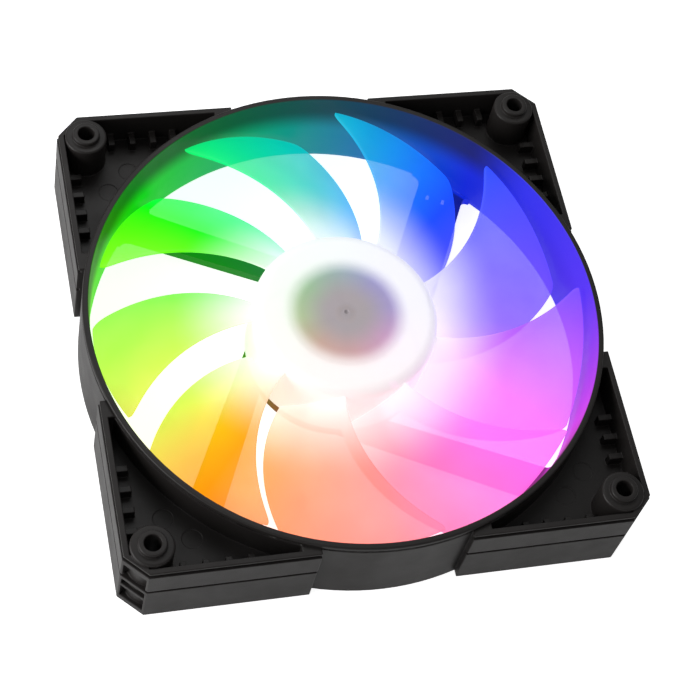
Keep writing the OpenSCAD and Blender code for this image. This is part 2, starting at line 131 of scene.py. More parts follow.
class Nodes:
    """A node tree that is being built, with short ways to add, set and join its nodes."""

    def __init__(self, tree, fresh=True):
        self.tree = tree
        if fresh:
            tree.nodes.clear()

    def feed(self, socket, value):
        if isinstance(value, Number):
            value = value.socket
        if isinstance(value, bpy.types.NodeSocket):
            self.tree.links.new(value, socket)
        else:
            socket.default_value = value

    def add(self, kind, inputs=None, **settings):
        node = self.tree.nodes.new(kind)
        for name, value in settings.items():
            setattr(node, name, value)
        for name, value in (inputs or {}).items():
            self.feed(node.inputs[name], value)
        return node

    def number(self, socket):
        return Number(self, socket)

    def split(self, vector):
        node = self.add("ShaderNodeSeparateXYZ", {"Vector": vector})
        return [Number(self, socket) for socket in node.outputs]

    def noise(self, where, scale, detail=2.0, roughness=0.5):
        node = self.add("ShaderNodeTexNoise", {
            "Vector": where, "Scale": scale, "Detail": detail, "Roughness": roughness})
        return Number(self, node.outputs["Fac"])

    def blend(self, factor, first, second, blend_type="MIX"):
        """Mix of two colours."""
        node = self.add("ShaderNodeMix", data_type="RGBA", blend_type=blend_type)
        self.feed(node.inputs[0], factor)
        self.feed(node.inputs[6], first)
        self.feed(node.inputs[7], second)
        return node.outputs[2]

    def ramp(self, factor, low, high):
        """Smooth step from 0 at low to 1 at high."""
        node = self.add("ShaderNodeMapRange", {"Value": factor, "From Min": low, "From Max": high},
                        interpolation_type="SMOOTHSTEP")
        return Number(self, node.outputs["Result"])


class Number:
    """A number in a node tree. Arithmetic on it adds Math nodes."""

    def __init__(self, nodes, socket):
        self.nodes = nodes
        self.socket = socket

    def math(self, operation, *others):
        node = self.nodes.add("ShaderNodeMath", operation=operation)
        for socket, value in zip(node.inputs, (self, *others)):
            self.nodes.feed(socket, value)
        return Number(self.nodes, node.outputs[0])

    def __add__(self, other):
        return self.math("ADD", other)

    def __mul__(self, other):
        return self.math("MULTIPLY", other)

    def __sub__(self, other):
        return self.math("SUBTRACT", other)

    def __truediv__(self, other):
        return self.math("DIVIDE", other)

    def __pow__(self, other):
        return self.math("POWER", other)

    def __rsub__(self, other):
        return self * -1 + other

    __radd__ = __add__
    __rmul__ = __mul__

    def toward(self, goal, share):
        """Straight step from this number to goal."""
        return self + (goal - self) * share


def new_group(name, kind, inputs, outputs):
    """Empty node group with its sockets, its input node and its output node."""
    tree = bpy.data.node_groups.new(name, kind)
    for label, (socket_type, default) in inputs.items():
        socket = tree.interface.new_socket(name=label, in_out="INPUT", socket_type=socket_type)
        if default is not None:
            socket.default_value = default
    for label, socket_type in outputs.items():
        tree.interface.new_socket(name=label, in_out="OUTPUT", socket_type=socket_type)
    nodes = Nodes(tree)
    return nodes, nodes.add("NodeGroupInput").outputs, nodes.add("NodeGroupOutput").inputs


FLOAT, COLOUR, VECTOR = "NodeSocketFloat", "NodeSocketColor", "NodeSocketVector"


def make_moulded_skin():
    """Fine grain and a slow drift of shade and gloss, as a moulded surface has."""
    nodes, given, out = new_group("moulded_skin", "ShaderNodeTree", {
        "Colour": (COLOUR, (0.5, 0.5, 0.5, 1)), "Roughness": (FLOAT, 0.5),
        "Grain Size": (FLOAT, 0.3 * MM), "Shade Drift": (FLOAT, 0.15), "Gloss Drift": (FLOAT, 0.1),
    }, {"Colour": COLOUR, "Roughness": FLOAT, "Height": FLOAT})
    place = nodes.add("ShaderNodeTexCoord").outputs["Object"]
    grain_size = nodes.number(given["Grain Size"])
    grain = nodes.noise(place, grain_size.math("POWER", -1), 3)
    drift = nodes.noise(place, 55, 2)
    shade = (drift * 0.7 + grain * 0.3 - 0.5) * 2 * nodes.number(given["Shade Drift"]) + 1
    tint = nodes.add("ShaderNodeVectorMath", operation="SCALE")
    nodes.feed(tint.inputs[0], given["Colour"])
    nodes.feed(tint.inputs["Scale"], shade)
    gloss = (nodes.noise(place, 120, 3) - 0.5) * 2 * nodes.number(given["Gloss Drift"])
    nodes.feed(out["Colour"], tint.outputs[0])
    nodes.feed(out["Roughness"], (gloss + nodes.number(given["Roughness"])).math("MAXIMUM", 0.05))
    nodes.feed(out["Height"], grain)
    return nodes.tree


def make_soft_edges():
    """Rounded corners for shading, and a mask of the edges that handling polishes."""
    nodes, given, out = new_group("soft_edges", "ShaderNodeTree", {
        "Radius": (FLOAT, 0.25 * MM), "Wear": (FLOAT, 1.0),
    }, {"Mask": FLOAT, "Normal": VECTOR})
    bevel = nodes.add("ShaderNodeBevel", {"Radius": given["Radius"]}, samples=6)
    true_normal = nodes.add("ShaderNodeNewGeometry").outputs["Normal"]
    turn = nodes.add("ShaderNodeVectorMath", operation="DOT_PRODUCT")
    nodes.feed(turn.inputs[0], bevel.outputs[0])
    nodes.feed(turn.inputs[1], true_normal)
    edge = nodes.ramp(1 - nodes.number(turn.outputs["Value"]), 0.015, 0.22)
    place = nodes.add("ShaderNodeTexCoord").outputs["Object"]
    patches = nodes.ramp(nodes.noise(place, 260, 3), 0.32, 0.6)
    nodes.feed(out["Mask"], (edge * patches * nodes.number(given["Wear"])).math("MINIMUM", 1))
    nodes.feed(out["Normal"], bevel.outputs[0])
    return nodes.tree


def make_turned_lines():
    """Fine rings round the fan axis, as turning, drawing and winding leave them."""
    nodes, given, out = new_group("turned_lines", "ShaderNodeTree", {
        "Colour": (COLOUR, (0.5, 0.5, 0.5, 1)), "Roughness": (FLOAT, 0.3),
        "Line Width": (FLOAT, 0.12 * MM), "Contrast": (FLOAT, 0.2),
    }, {"Colour": COLOUR, "Roughness": FLOAT, "Height": FLOAT})
    place = nodes.add("ShaderNodeTexCoord").outputs["Object"]
    x, y, z = nodes.split(place)
    radius = (x * x + y * y).math("SQRT")
    line_width = nodes.number(given["Line Width"])
    across = nodes.add("ShaderNodeCombineXYZ", {"X": radius / line_width, "Y": z / line_width})
    lines = nodes.noise(across.outputs[0], 1.0, 3, 0.6)
    smudge = nodes.noise(place, 300, 3)
    contrast = nodes.number(given["Contrast"])
    tint = nodes.add("ShaderNodeVectorMath", operation="SCALE")
    nodes.feed(tint.inputs[0], given["Colour"])
    nodes.feed(tint.inputs["Scale"], (lines * 0.6 + smudge * 0.4 - 0.5) * 2 * contrast + 1)
    nodes.feed(out["Colour"], tint.outputs[0])
    nodes.feed(out["Roughness"],
               (lines - 0.5) * contrast + smudge * 0.12 + nodes.number(given["Roughness"]) - 0.06)
    nodes.feed(out["Height"], lines)
    return nodes.tree


def make_grains():
    """Packed grains of two shades, as in sintered metal, bonded magnets and filled resin."""
    nodes, given, out = new_group("packed_grains", "ShaderNodeTree", {
        "Colour": (COLOUR, (0.3, 0.2, 0.1, 1)), "Pore Colour": (COLOUR, (0.05, 0.03, 0.02, 1)),
        "Grain Size": (FLOAT, 0.1 * MM), "Pores": (FLOAT, 0.4),
    }, {"Colour": COLOUR, "Pits": FLOAT, "Height": FLOAT})
    place = nodes.add("ShaderNodeTexCoord").outputs["Object"]
    scale = nodes.number(given["Grain Size"]).math("POWER", -1)
    cells = nodes.add("ShaderNodeTexVoronoi", {"Vector": place, "Scale": scale})
    distance = nodes.number(cells.outputs["Distance"])
    pits = nodes.ramp(nodes.noise(place, scale, 2), 0.62, 0.72) * nodes.number(given["Pores"])
    shade = nodes.blend(distance, (0.75, 0.75, 0.75, 1), (1.3, 1.3, 1.3, 1))
    body = nodes.blend(1.0, given["Colour"], shade, "MULTIPLY")
    nodes.feed(out["Colour"], nodes.blend(pits, body, given["Pore Colour"]))
    nodes.feed(out["Pits"], pits)
    nodes.feed(out["Height"], 1 - distance - pits)
    return nodes.tree


def make_lamp_hues():
    """Colour that the ring of lamps gives in each direction round the axis."""
    nodes, _, out = new_group("lamp_hues", "ShaderNodeTree", {}, {"Colour": COLOUR, "Radius": FLOAT})
    place = nodes.add("ShaderNodeTexCoord").outputs["Object"]
    x, y, _ = nodes.split(place)
    turn = (y.math("ARCTAN2", x) / math.tau).math("WRAP", 1.0, 0.0)
    wheel = nodes.add("ShaderNodeValToRGB", {"Fac": turn})
    stops = wheel.color_ramp.elements
    hues = list(LAMP_HUES.values())
    stops[0].color = (*hues[0], 1)
    stops[1].color = (*hues[0], 1)
    for k, hue in enumerate(hues[1:], 1):
        stops.new(k / len(hues)).color = (*hue, 1)
    nodes.feed(out["Colour"], wheel.outputs["Color"])
    nodes.feed(out["Radius"], (x * x + y * y).math("SQRT"))
    return nodes.tree


SKIN = make_moulded_skin()
SOFT_EDGES = make_soft_edges()
TURNED = make_turned_lines()
GRAINS = make_grains()
HUES = make_lamp_hues()

# ---------------------------------------------------------------- materials


def group_node(nodes, tree, **inputs):
    """A shader group placed in a material with its own values."""
    node = nodes.add("ShaderNodeGroup", node_tree=tree)
    for name, value in inputs.items():
        nodes.feed(node.inputs[name.replace("_", " ")], value)
    return node.outputs


def new_material(name, **uniform):
    """Material with a Principled shader; uniform numbers and colours go on its own sockets."""
    material = bpy.data.materials.new(name)
    material.use_nodes = True
    nodes = Nodes(material.node_tree)
    shader = nodes.add("ShaderNodeBsdfPrincipled")
    nodes.feed(nodes.add("ShaderNodeOutputMaterial").inputs["Surface"], shader.outputs[0])
    for socket, value in uniform.items():
        shader.inputs[socket.replace("_", " ")].default_value = value
    return material, nodes, shader.inputs


def bump(nodes, height, distance, strength=1.0, normal=None):
    """Normal that a height pushes in and out."""
    node = nodes.add("ShaderNodeBump", {"Height": height, "Distance": distance, "Strength": strength})
    if normal is not None:
        nodes.feed(node.inputs["Normal"], normal)
    return node.outputs[0]


def moulded(name, colour, roughness, grain=0.3 * MM, depth=0.02 * MM, wear=0.5, edge=0.2 * MM,
            worn=None, drift=0.15, **uniform):
    """Moulded plastic, resin or ceramic: grain, drifting shade and lighter polished edges."""
    material, nodes, shader = new_material(name, **uniform)
    skin = group_node(nodes, SKIN, Colour=(*colour, 1), Roughness=roughness, Grain_Size=grain,
                      Shade_Drift=drift)
    edges = group_node(nodes, SOFT_EDGES, Radius=edge, Wear=wear)
    worn = worn or tuple(min(1, c * 1.8 + 0.02) for c in colour)
    nodes.feed(shader["Base Color"], nodes.blend(edges["Mask"], skin["Colour"], (*worn, 1)))
    nodes.feed(shader["Roughness"], nodes.number(skin["Roughness"]) - nodes.number(edges["Mask"]) * 0.1)
    nodes.feed(shader["Normal"], bump(nodes, skin["Height"], depth, 1.0, edges["Normal"]))
    return material


def turned(name, colour, roughness, line=0.12 * MM, contrast=0.2, **uniform):
    """Turned or drawn metal: fine rings and polished edges."""
    material, nodes, shader = new_material(name, Metallic=1.0, **uniform)
    lines = group_node(nodes, TURNED, Colour=(*colour, 1), Roughness=roughness, Line_Width=line,
                       Contrast=contrast)
    edges = group_node(nodes, SOFT_EDGES, Radius=0.12 * MM, Wear=0.6)
    bright = tuple(min(1, c * 1.25) for c in colour)
    nodes.feed(shader["Base Color"], nodes.blend(edges["Mask"], lines["Colour"], (*bright, 1)))
    nodes.feed(shader["Roughness"], lines["Roughness"])
    nodes.feed(shader["Normal"], bump(nodes, lines["Height"], 0.01 * MM, 0.6, edges["Normal"]))
    return material


def grained(name, colour, pore_colour, roughness, grain, metallic=0.0, pores=0.5):
    """Sintered, bonded or filled material made of packed grains."""
    material, nodes, shader = new_material(name, Metallic=metallic)
    grains = group_node(nodes, GRAINS, Colour=(*colour, 1), Pore_Colour=(*pore_colour, 1),
                        Grain_Size=grain, Pores=pores)
    edges = group_node(nodes, SOFT_EDGES, Radius=0.12 * MM, Wear=0.4)
    nodes.feed(shader["Base Color"], grains["Colour"])
    nodes.feed(shader["Roughness"], nodes.number(grains["Pits"]) * 0.3 + roughness)
    nodes.feed(shader["Normal"], bump(nodes, grains["Height"], 0.02 * MM, 0.7, edges["Normal"]))
    return material


def frosted_plastic():
    """Frosted plastic with the lamps' light painted into its emission and base colour: painted white glow
    round the hub, full colour at the tips, and a painted grey shadow disc where the steel cup keeps the
    light back."""
    material, nodes, shader = new_material(
        "frosted_plastic", Emission_Strength=1.05, Specular_IOR_Level=0.25)
    hues = group_node(nodes, HUES)
    radius = nodes.number(hues["Radius"])
    place = nodes.add("ShaderNodeTexCoord").outputs["Object"]
    cloud = nodes.noise(place, 90, 3)
    hub = 1 - nodes.ramp(radius, HUB_R - 0.05 * MM, HUB_R + 0.5 * MM)
    beyond_cup = nodes.ramp(radius + (cloud - 0.5) * 0.8 * MM, CUP_R - 2.6 * MM, CUP_R + 3.4 * MM)
    dot = 1 - nodes.ramp(radius, 0.6 * DIMPLE_R, DIMPLE_R)
    boss = 1 - nodes.ramp(radius, 0.4 * CUP_HOLE_R, 1.1 * CUP_HOLE_R)
    # Painted shadow: the shaft boss and the dimple darken the glow in the middle, with a little random
    # cloud.
    shadow = boss * 0.16 + dot * 0.5 + cloud * 0.1
    # Painted shade: over the steel cup the glow turns grey, keeping a little lamp colour at its edge.
    cup_shade_hue = nodes.blend(1 - nodes.ramp(radius, 0.3 * CUP_R, CUP_R) * 0.3, hues["Colour"],
                          (*CUP_SHADE_GREY, 1))
    cup_glow = nodes.blend(shadow, cup_shade_hue, NO_LIGHT)
    ring_glow = nodes.blend(0.86, hues["Colour"], FULL_LIGHT)
    hub_glow = nodes.blend(beyond_cup, cup_glow, nodes.blend(0.5, ring_glow, NO_LIGHT))
    # Painted light: the blades turn white towards the hub, where the painted lamp glow is strongest.
    painted_pale_glow = (1 - nodes.ramp(radius, 0.8 * HUB_R, 0.72 * TIP_R)) ** 1.15
    blade_glow = nodes.blend(painted_pale_glow * 0.9, hues["Colour"], FULL_LIGHT)
    blade_glow = nodes.blend(cloud * 0.25 + painted_pale_glow * 0.22, blade_glow, NO_LIGHT)
    nodes.feed(shader["Emission Color"], nodes.blend(hub, blade_glow, hub_glow))
    # Painted light and shade in the base colour too: dark grey over the steel cup, lamp colours on the
    # blades.
    hub_body_painted_shade = nodes.blend(beyond_cup, (0.26, 0.24, 0.25, 1), (0.66, 0.66, 0.66, 1))
    blade_body_painted_glow = nodes.blend(0.45, nodes.blend(painted_pale_glow, hues["Colour"], FULL_LIGHT), NO_LIGHT)
    nodes.feed(shader["Base Color"], nodes.blend(hub, blade_body_painted_glow, hub_body_painted_shade))
    nodes.feed(shader["Alpha"], hub * 0.18 + 0.68 + (cloud - 0.5) * 0.08)
    skin = group_node(nodes, SKIN, Colour=FULL_LIGHT, Roughness=0.36, Grain_Size=0.25 * MM)
    nodes.feed(shader["Roughness"], skin["Roughness"])
    nodes.feed(shader["Normal"], bump(nodes, skin["Height"], 0.01 * MM, 0.5))
    return material


def black_plastic():
    """Fine-grained black moulding. Inside the duct the lamps' coloured light is painted on as emission."""
    material = moulded("black_plastic", BLACK, 0.42, 0.35 * MM, 0.025 * MM, wear=0.6,
                       edge=0.3 * MM, worn=POLISHED_BLACK, drift=0.3, Emission_Strength=1.0,
                       Specular_IOR_Level=0.24)
    nodes = Nodes(material.node_tree, fresh=False)
    shader = nodes.tree.nodes["Principled BSDF"].inputs
    hues = group_node(nodes, HUES)
    radius = nodes.number(hues["Radius"])
    x, _, z = nodes.split(nodes.add("ShaderNodeTexCoord").outputs["Object"])
    facing = nodes.split(nodes.add("ShaderNodeNewGeometry").outputs["Normal"])[2]
    inside = 1 - nodes.ramp(radius, DUCT_R + 1.0 * MM, DUCT_R + 1.1 * MM)
    in_duct = inside * nodes.ramp(facing, -0.6, -0.3)
    # Painted light: low on the duct wall the glow is even; towards the lip it fades, except on the +X side
    # where it stays bright. Faces nearer the axis, such as the struts, get a weaker painted glow.
    lip_level = nodes.ramp(x / radius, 0.68, 0.88) * 0.68 + 0.15
    wall_level = lip_level.toward(0.72, 1 - nodes.ramp(z, GLOW_LOW_Z, GLOW_HIGH_Z))
    wall = nodes.ramp(radius, DUCT_R - 1.6 * MM, DUCT_R - 0.6 * MM)
    painted_glow_level = wall * wall_level + (1 - wall) * 0.28
    deep_hue = nodes.add("ShaderNodeGamma", {"Color": hues["Colour"], "Gamma": 1.5}).outputs[0]
    nodes.feed(shader["Emission Color"], nodes.blend(in_duct * painted_glow_level, NO_LIGHT, deep_hue))
    return material


def lamp_plastic():
    """White lamp housing; its resin well glows in the lamp's own colour."""
    material, nodes, shader = new_material("lamp_plastic", Emission_Strength=3.0)
    hues = group_node(nodes, HUES)
    skin = group_node(nodes, SKIN, Colour=(0.86, 0.85, 0.8, 1), Roughness=0.4, Grain_Size=0.2 * MM)
    z = nodes.split(nodes.add("ShaderNodeTexCoord").outputs["Object"])[2]
    normal = nodes.split(nodes.add("ShaderNodeNewGeometry").outputs["Normal"])[2]
    low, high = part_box("led_1")[0].z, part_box("led_1")[1].z
    well = (1 - nodes.ramp(z, high - 0.2 * MM, high - 0.05 * MM)) * nodes.ramp(normal, 0.7, 0.9)
    well = well * nodes.ramp(z, low + 0.5 * MM, low + 0.9 * MM)
    nodes.feed(shader["Emission Color"], nodes.blend(well, NO_LIGHT, hues["Colour"]))
    nodes.feed(shader["Base Color"], skin["Colour"])
    nodes.feed(shader["Roughness"], skin["Roughness"])
    nodes.feed(shader["Normal"], bump(nodes, skin["Height"], 0.01 * MM, 0.5))
    return material


def board_laminate():
    """White solder resist over copper tracks: rings that feed the lamps, with spokes between."""
    material, nodes, shader = new_material("board_laminate", Coat_Weight=0.3)
    place = nodes.add("ShaderNodeTexCoord").outputs["Object"]
    x, y, _ = nodes.split(place)
    radius = (x * x + y * y).math("SQRT")
    rings = nodes.ramp((radius / (1.1 * MM)).math("PINGPONG", 1.0), 0.72, 0.8)
    spokes = y.math("ARCTAN2", x).math("MULTIPLY", 16 / math.pi).math("PINGPONG", 1.0)
    tracks = rings.math("MAXIMUM", nodes.ramp(spokes, 0.86, 0.9) * nodes.ramp(radius, 15 * MM, 15.2 * MM))
    skin = group_node(nodes, SKIN, Colour=(0.82, 0.84, 0.81, 1), Roughness=0.32, Grain_Size=0.4 * MM)
    nodes.feed(shader["Base Color"], nodes.blend(tracks * 0.5, skin["Colour"], (0.72, 0.66, 0.5, 1)))
    nodes.feed(shader["Roughness"], skin["Roughness"])
    nodes.feed(shader["Normal"], bump(nodes, tracks + nodes.number(skin["Height"]) * 0.2, 0.03 * MM, 0.8))
    return material


def label_film():
    """Plain silvered film with a printed ring near its edge and no lettering."""
    material, nodes, shader = new_material("label_film", Metallic=0.35)
    place = nodes.add("ShaderNodeTexCoord").outputs["Object"]
    x, y, _ = nodes.split(place)
    radius = (x * x + y * y).math("SQRT")
    edge_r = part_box("back_label")[1].x
    ring = nodes.ramp(radius, edge_r - 1.7 * MM, edge_r - 1.6 * MM) * (
        1 - nodes.ramp(radius, edge_r - 1.0 * MM, edge_r - 0.9 * MM))
    skin = group_node(nodes, SKIN, Colour=(0.66, 0.67, 0.69, 1), Roughness=0.34, Grain_Size=0.15 * MM)
    nodes.feed(shader["Base Color"], nodes.blend(ring, skin["Colour"], (0.06, 0.06, 0.065, 1)))
    nodes.feed(shader["Roughness"], skin["Roughness"])
    nodes.feed(shader["Normal"], bump(nodes, skin["Height"], 0.01 * MM, 0.5))
    return material


def lamination_steel():
    """Stack of half-millimetre silicon steel sheets: dark lines along the height."""
    material, nodes, shader = new_material("lamination_steel", Metallic=0.9)
    place = nodes.add("ShaderNodeTexCoord").outputs["Object"]
    z = nodes.split(place)[2]
    sheet = nodes.ramp((z / (0.25 * MM)).math("PINGPONG", 1.0), 0.1, 0.35)
    skin = group_node(nodes, SKIN, Colour=(0.36, 0.37, 0.40, 1), Roughness=0.42, Grain_Size=0.1 * MM,
                      Shade_Drift=0.25)
    nodes.feed(shader["Base Color"], nodes.blend(sheet, (0.07, 0.07, 0.08, 1), skin["Colour"]))
    nodes.feed(shader["Roughness"], skin["Roughness"])
    nodes.feed(shader["Normal"], bump(nodes, sheet, 0.04 * MM, 0.8))
    return material


MATERIALS = {
    "black_plastic": black_plastic(),
    "frosted_plastic": frosted_plastic(),
    "brass": turned("brass", (0.72, 0.48, 0.19), 0.26),
    "sintered_bronze": grained("sintered_bronze", (0.42, 0.24, 0.11), (0.09, 0.05, 0.03), 0.42,
                               0.09 * MM, metallic=0.9),
    "nylon": moulded("nylon", (0.82, 0.8, 0.72), 0.42, Subsurface_Weight=0.15),
    "lamination_steel": lamination_steel(),
    "insulator_plastic": moulded("insulator_plastic", (0.80, 0.78, 0.72), 0.46),
    "enamelled_copper": turned("enamelled_copper", (0.60, 0.22, 0.08), 0.24, 0.3 * MM, 0.15,
                               Coat_Weight=0.6, Coat_Roughness=0.12),
    "tinned_metal": turned("tinned_metal", (0.72, 0.73, 0.74), 0.3, 0.2 * MM, 0.25),
    "board_laminate": board_laminate(),
    "chip_resin": grained("chip_resin", (0.022, 0.022, 0.024), (0.05, 0.05, 0.055), 0.5, 0.06 * MM),
    "capacitor_ceramic": moulded("capacitor_ceramic", (0.42, 0.27, 0.15), 0.38, 0.08 * MM,
                                 worn=(0.7, 0.7, 0.68), wear=0.9),
    "lamp_plastic": lamp_plastic(),
    "label_film": label_film(),
    "cup_steel": turned("cup_steel", (0.50, 0.50, 0.52), 0.32, 0.15 * MM, 0.3),
    "bonded_magnet": grained("bonded_magnet", (0.075, 0.068, 0.064), (0.025, 0.022, 0.02), 0.55,
                             0.12 * MM, metallic=0.3),
    "shaft_steel": turned("shaft_steel", (0.70, 0.71, 0.73), 0.14, 0.08 * MM, 0.1),
}

# ---------------------------------------------------------------- mesh helpers


def new_object(name, mesh):
    """Object that shows a mesh, placed in the scene."""
    piece = bpy.data.objects.new(name, mesh)
    bpy.context.scene.collection.objects.link(piece)
    return piece


def finished(piece, body, slot, *nodes):
    """Hangs a made piece on its body and hides the CAD nodes that it stands for. The slot is not used."""
    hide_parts(*nodes)
    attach(piece, body)
    return piece


def lathe(name, profile, steps, material):
    """Closed solid of revolution about the fan axis; profile runs (radius, height), top to bottom
    outside and back up inside, and may start or end on the axis."""
    form = bmesh.new()
    rings = []
    for radius, height in profile:
        count = 1 if radius < 1e-7 else steps
        rings.append([form.verts.new((radius * math.cos(math.tau * k / steps),
                                      radius * math.sin(math.tau * k / steps), height))
                      for k in range(count)])
    closed = len(rings[0]) > 1
    pairs = zip(rings, rings[1:] + rings[:1]) if closed else zip(rings, rings[1:])
    for upper, lower in pairs:
        for k in range(steps):
            corners = [upper[k % len(upper)], upper[(k + 1) % steps % len(upper)],
                       lower[(k + 1) % steps % len(lower)], lower[k % len(lower)]]
            corners = list(dict.fromkeys(corners))
            form.faces.new(corners)
    bmesh.ops.recalc_face_normals(form, faces=form.faces)
    mesh = bpy.data.meshes.new(name)
    form.to_mesh(mesh)
    form.free()
    mesh.materials.append(material)
    shade_round(mesh)
    return new_object(name, mesh)


def shade_round(mesh, sharp_angle=32):
    """Smooth shading that breaks at edges sharper than sharp_angle degrees."""
    mesh.shade_smooth()
    mesh.set_sharp_from_angle(angle=math.radians(sharp_angle))


def arc(centre_r, centre_z, radius, start, end, steps=8):
    """Points (radius, height) along a round corner, angles in degrees."""
    angles = [math.radians(start + (end - start) * k / steps) for k in range(steps + 1)]
    return [(centre_r + radius * math.cos(a), centre_z + radius * math.sin(a)) for a in angles]


def merged_copy(node, name):
    """Copy of a CAD node with its loose triangles joined up."""
    mesh = frame["nodes"][node].data.copy()
    mesh.name = name
    form = bmesh.new()
    form.from_mesh(mesh)
    bmesh.ops.remove_doubles(form, verts=form.verts, dist=MERGE_GAP)
    form.to_mesh(mesh)
    form.free()
    if "custom_normal" in mesh.attributes:
        mesh.attributes.remove(mesh.attributes["custom_normal"])
    shade_round(mesh)
    return new_object(name, mesh)


def mark_round_edges(mesh, width):
    """Marks the sharp edges to be rounded. Both edges of a step too shallow for it stay sharp."""
    form = bmesh.new()
    form.from_mesh(mesh)
    weight = form.edges.layers.float.new("bevel_weight_edge")
    sharp = [edge for edge in form.edges if edge.calc_face_angle(0) > math.radians(SHARP_EDGE)]
    middles = [(edge.verts[0].co + edge.verts[1].co) / 2 for edge in sharp]
    near = KDTree(len(sharp))
    for index, middle in enumerate(middles):
        near.insert(middle, index)
    near.balance()
    for edge, middle in zip(sharp, middles):
        close = [sharp[index] for _, index, _ in near.find_range(middle, NEAR_EDGE * width)]
        if all(set(other.verts) & set(edge.verts) for other in close):
            edge[weight] = 1
    form.to_mesh(mesh)
    form.free()


def round_edges(piece, width):
    """Rounds a piece's sharp edges, and draws the few points that overshoot in a tight corner
    back to the surface as it was."""
    corners = [v.co.copy() for v in piece.data.vertices]
    before = BVHTree.FromPolygons(corners, [list(p.vertices) for p in piece.data.polygons])
    low = [min(corner[axis] for corner in corners) for axis in range(3)]
    high = [max(corner[axis] for corner in corners) for axis in range(3)]
    mark_round_edges(piece.data, width)
    bevel = piece.modifiers.new("edges", "BEVEL")
    bevel.width = width
    bevel.segments = 2
    bevel.limit_method = "WEIGHT"
    bevel.use_clamp_overlap = False
    bevel.harden_normals = True
    evaluated = piece.evaluated_get(bpy.context.evaluated_depsgraph_get())
    mesh = bpy.data.meshes.new_from_object(evaluated)
    piece.modifiers.clear()
    piece.data = mesh
    for vertex in mesh.vertices:
        nearest, _, _, distance = before.find_nearest(vertex.co)
        if distance > STRAY * width:
            vertex.co = nearest
        vertex.co = [min(max(vertex.co[axis], low[axis]), high[axis]) for axis in range(3)]


def built_by(name, tree, inputs):
    """Plain mesh object made by a geometry tree, with the modifier already applied."""
    host = new_object(name + "_host", bpy.data.meshes.new(name + "_host"))
    modifier = host.modifiers.new("build", "NODES")
    modifier.node_group = tree
    sockets = {item.name: item.identifier for item in tree.interface.items_tree
               if item.item_type == "SOCKET" and item.in_out == "INPUT"}
    for label, value in inputs.items():
        modifier[sockets[label]] = value
    evaluated = host.evaluated_get(bpy.context.evaluated_depsgraph_get())
    mesh = bpy.data.meshes.new_from_object(evaluated)
    mesh.name = name
    bpy.data.objects.remove(host)
    return new_object(name, mesh)


# ---------------------------------------------------------------- impeller


def blade_ring_tree():
    """Geometry tree for a ring of swept blades with rounded edges."""
    nodes, given, out = new_group("blade_ring", "GeometryNodeTree", {
        "Blade Count": ("NodeSocketInt", BLADE_COUNT), "Root Radius": (FLOAT, 0), "Tip Radius": (FLOAT, 0),
        "Sweep": (FLOAT, 0), "Root Span": (FLOAT, 0), "Tip Span": (FLOAT, 0),
        "Root Lead Height": (FLOAT, 0), "Tip Lead Height": (FLOAT, 0),
        "Root Trail Height": (FLOAT, 0), "Tip Trail Height": (FLOAT, 0),
        "Camber": (FLOAT, 0), "Thickness": (FLOAT, 0), "Edge Thickness": (FLOAT, 0),
        "Material": ("NodeSocketMaterial", None),
    }, {"Geometry": "NodeSocketGeometry"})
    value = {name: nodes.number(given[name]) for name in given.keys() if name}
    block = nodes.add("GeometryNodeMeshCube", {
        "Size": (1, 1, 1), "Vertices X": 33, "Vertices Y": 29, "Vertices Z": 3})
    x, y, side = nodes.split(nodes.add("GeometryNodeInputPosition").outputs[0])
    along = 0.5 - ((x + 0.5) * math.pi).math("COSINE") * 0.5
    out_share = ((y + 0.5) * (math.pi / 2)).math("SINE")
    radius = value["Root Radius"].toward(value["Tip Radius"], out_share)
    span = value["Root Span"].toward(value["Tip Span"], out_share) * (1 - out_share ** 50 * 0.07)
    lead = value["Sweep"] * out_share ** 1.25 + span * 0.5
    angle = (lead - span * along).math("RADIANS")
    lead_z = value["Root Lead Height"].toward(value["Tip Lead Height"], out_share)
    trail_z = value["Root Trail Height"].toward(value["Tip Trail Height"], out_share)
    middle_z = lead_z.toward(trail_z, along) + value["Camber"] * 4 * along * (1 - along)
    belly = (along ** 0.7 * math.pi).math("SINE")
    half = value["Edge Thickness"].toward(value["Thickness"], belly) * 0.62
    ends = (1 - (along * 2 - 1).math("ABSOLUTE") ** 24).math("MAXIMUM", 0).math("SQRT")
    tip = (1 - out_share ** 60).math("MAXIMUM", 0).math("SQRT")
    half = half * (ends * tip * 0.75 + 0.25)
    height = middle_z + side * 2 * half
    place = nodes.add("ShaderNodeCombineXYZ", {
        "X": radius * angle.math("COSINE"), "Y": radius * angle.math("SINE"), "Z": height})
    blade = nodes.add("GeometryNodeSetPosition", {
        "Geometry": block.outputs["Mesh"], "Position": place.outputs[0]})
    points = nodes.add("GeometryNodePoints", {"Count": given["Blade Count"]})
    step = value["Blade Count"] ** -1 * math.tau
    turn = nodes.number(nodes.add("GeometryNodeInputIndex").outputs[0]) * step
    rotation = nodes.add("ShaderNodeCombineXYZ", {"Z": turn})
    ring = nodes.add("GeometryNodeInstanceOnPoints", {
        "Points": points.outputs[0], "Instance": blade.outputs[0], "Rotation": rotation.outputs[0]})
    real = nodes.add("GeometryNodeRealizeInstances", {"Geometry": ring.outputs[0]})
    painted = nodes.add("GeometryNodeSetMaterial", {
        "Geometry": real.outputs[0], "Material": given["Material"]})
    nodes.feed(out["Geometry"], painted.outputs[0])
    return nodes.tree


